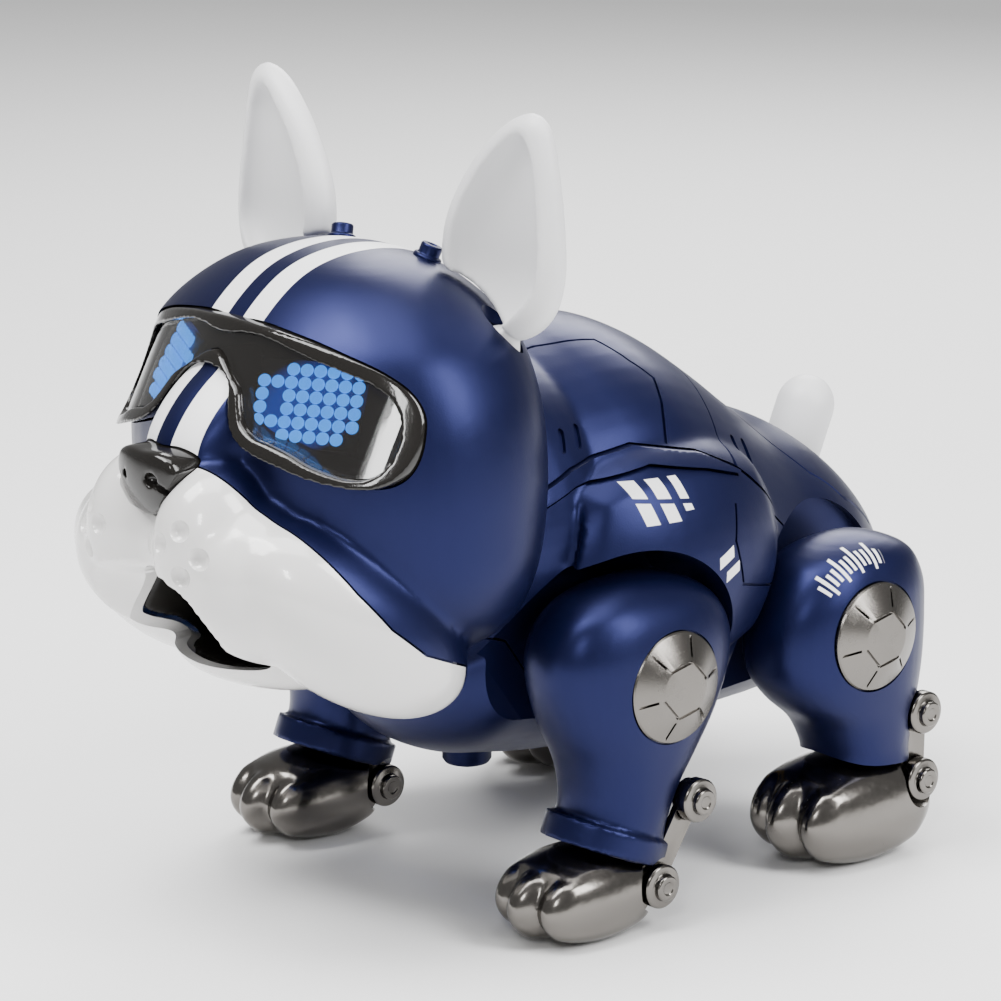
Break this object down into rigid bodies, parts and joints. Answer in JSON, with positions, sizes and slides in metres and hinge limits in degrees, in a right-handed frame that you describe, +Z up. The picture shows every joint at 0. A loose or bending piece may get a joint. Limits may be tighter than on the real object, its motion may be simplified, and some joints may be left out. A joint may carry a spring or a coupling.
{
  "type": "robot dog toy",
  "caption": "Electronic robot dog toy: navy and white shell, wraparound visor over a dot-matrix display, upright ears, hinged legs with metallic paws, turning head and wagging tail.",
  "frame": {"origin": "centre of the bounding box in x and y, on the floor under the paws", "axes": "+Z up, -Y forwards (the dog faces -Y), +X to the dog's left"},
  "size_m": [0.1356, 0.2206, 0.194],
  "materials": {
    "navy_shell": "satin navy blue moulding",
    "white_gloss": "glossy white moulding",
    "white_soft": "fine matt white moulding",
    "gunmetal": "dark metallic paint on plastic",
    "black_gloss": "gloss black moulding",
    "smoked_lens": "clear smoked moulding, mirror bright",
    "display": "dot display that glows blue",
    "dark_liner": "matt black",
    "grey_plastic": "plain grey moulding",
    "motor_case": "drawn metal can",
    "steel": "turned steel",
    "board": "green circuit board",
    "cell_wrap": "shrink wrap"
  },
  "bodies": {
    "torso": {"shoulder_cover_left": "navy_shell", "shoulder_cover_right": "navy_shell", "front_back_cover": "navy_shell", "rear_back_cover": "navy_shell", "belly_shell": "navy_shell", "battery_door": "grey_plastic", "neck_pin": "steel", "gearbox_left": "grey_plastic", "gearbox_right": "grey_plastic", "drive_motor_left": "motor_case", "drive_motor_right": "motor_case", "battery_pack": "cell_wrap", "main_board": "board", "head_motor": "motor_case", "speaker": "grey_plastic", "charge_port": "grey_plastic"},
    "head": {"head_shell": "navy_shell", "muzzle": "white_gloss", "mouth_liner": "dark_liner", "nose": "black_gloss", "visor_frame": "black_gloss", "visor_lens": "smoked_lens", "led_display_left": "display", "led_display_right": "display", "ear_stud_left": "navy_shell", "ear_stud_right": "navy_shell"},
    "ear_left": {"ear_left": "white_soft"},
    "ear_right": {"ear_right": "white_soft"},
    "tail": {"tail": "white_soft"},
    "power_button": {"power_button": "grey_plastic"},
    "front_leg_left": {"front_leg_left": "navy_shell", "front_hub_cap_left": "gunmetal", "front_hip_axle_left": "steel", "front_link_bar_left": "gunmetal", "front_knee_bolt_left": "gunmetal", "front_ankle_pin_left": "gunmetal"},
    "front_paw_left": {"front_paw_left": "gunmetal"},
    "rear_leg_left": {"rear_leg_left": "navy_shell", "rear_hub_cap_left": "gunmetal", "rear_hip_axle_left": "steel", "rear_link_bar_left": "gunmetal", "rear_knee_bolt_left": "gunmetal", "rear_ankle_pin_left": "gunmetal"},
    "rear_paw_left": {"rear_paw_left": "gunmetal"},
    "front_leg_right": {"front_leg_right": "navy_shell", "front_hub_cap_right": "gunmetal", "front_hip_axle_right": "steel", "front_link_bar_right": "gunmetal", "front_knee_bolt_right": "gunmetal", "front_ankle_pin_right": "gunmetal"},
    "front_paw_right": {"front_paw_right": "gunmetal"},
    "rear_leg_right": {"rear_leg_right": "navy_shell", "rear_hub_cap_right": "gunmetal", "rear_hip_axle_right": "steel", "rear_link_bar_right": "gunmetal", "rear_knee_bolt_right": "gunmetal", "rear_ankle_pin_right": "gunmetal"},
    "rear_paw_right": {"rear_paw_right": "gunmetal"}
  },
  "joints": [
    {"name": "head_turn", "type": "hinge", "parent": "torso", "child": "head", "pos_m": [0, -0.02025, 0.092], "axis": [0, 0, 1], "range_deg": [-10, 10]},
    {"name": "ear_left_turn", "type": "hinge", "parent": "head", "child": "ear_left", "pos_m": [0.039, -0.03495, 0.141], "axis": [0, 0, 1], "range_deg": [-10, 10]},
    {"name": "ear_right_turn", "type": "hinge", "parent": "head", "child": "ear_right", "pos_m": [-0.039, -0.03495, 0.141], "axis": [0, 0, 1], "range_deg": [-10, 10]},
    {"name": "tail_wag", "type": "hinge", "parent": "torso", "child": "tail", "pos_m": [0, 0.09475, 0.084], "axis": [0, 1, 0], "range_deg": [-12, 12]},
    {"name": "power_button_press", "type": "slide", "parent": "torso", "child": "power_button", "axis": [0, 0, 1], "range_m": [0, 0.0015], "stiffness_N_per_m": 300, "springref_m": -0.001},
    {"name": "front_hip_left", "type": "hinge", "parent": "torso", "child": "front_leg_left", "pos_m": [0.05, -0.00425, 0.059], "axis": [1, 0, 0], "range_deg": [-12, 12]},
    {"name": "front_ankle_left", "type": "hinge", "parent": "front_leg_left", "child": "front_paw_left", "pos_m": [0.05, -0.00625, 0.0105], "axis": [1, 0, 0], "range_deg": [0, 12], "stiffness_Nm_per_rad": 0.05, "springref_deg": -17.19},
    {"name": "rear_hip_left", "type": "hinge", "parent": "torso", "child": "rear_leg_left", "pos_m": [0.05, 0.06175, 0.0585], "axis": [1, 0, 0], "range_deg": [-12, 12]},
    {"name": "rear_ankle_left", "type": "hinge", "parent": "rear_leg_left", "child": "rear_paw_left", "pos_m": [0.05, 0.08095, 0.018], "axis": [1, 0, 0], "range_deg": [0, 12], "stiffness_Nm_per_rad": 0.05, "springref_deg": -17.19},
    {"name": "front_hip_right", "type": "hinge", "parent": "torso", "child": "front_leg_right", "pos_m": [-0.05, -0.00425, 0.059], "axis": [1, 0, 0], "range_deg": [-12, 12]},
    {"name": "front_ankle_right", "type": "hinge", "parent": "front_leg_right", "child": "front_paw_right", "pos_m": [-0.05, -0.00625, 0.0105], "axis": [1, 0, 0], "range_deg": [0, 12], "stiffness_Nm_per_rad": 0.05, "springref_deg": -17.19},
    {"name": "rear_hip_right", "type": "hinge", "parent": "torso", "child": "rear_leg_right", "pos_m": [-0.05, 0.06175, 0.0585], "axis": [1, 0, 0], "range_deg": [-12, 12]},
    {"name": "rear_ankle_right", "type": "hinge", "parent": "rear_leg_right", "child": "rear_paw_right", "pos_m": [-0.05, 0.08095, 0.018], "axis": [1, 0, 0], "range_deg": [0, 12], "stiffness_Nm_per_rad": 0.05, "springref_deg": -17.19}
  ],
  "couplings": [
    {"joint": "rear_hip_left", "follows": "front_hip_left", "ratio": -1},
    {"joint": "rear_hip_right", "follows": "front_hip_right", "ratio": -1}
  ]
}
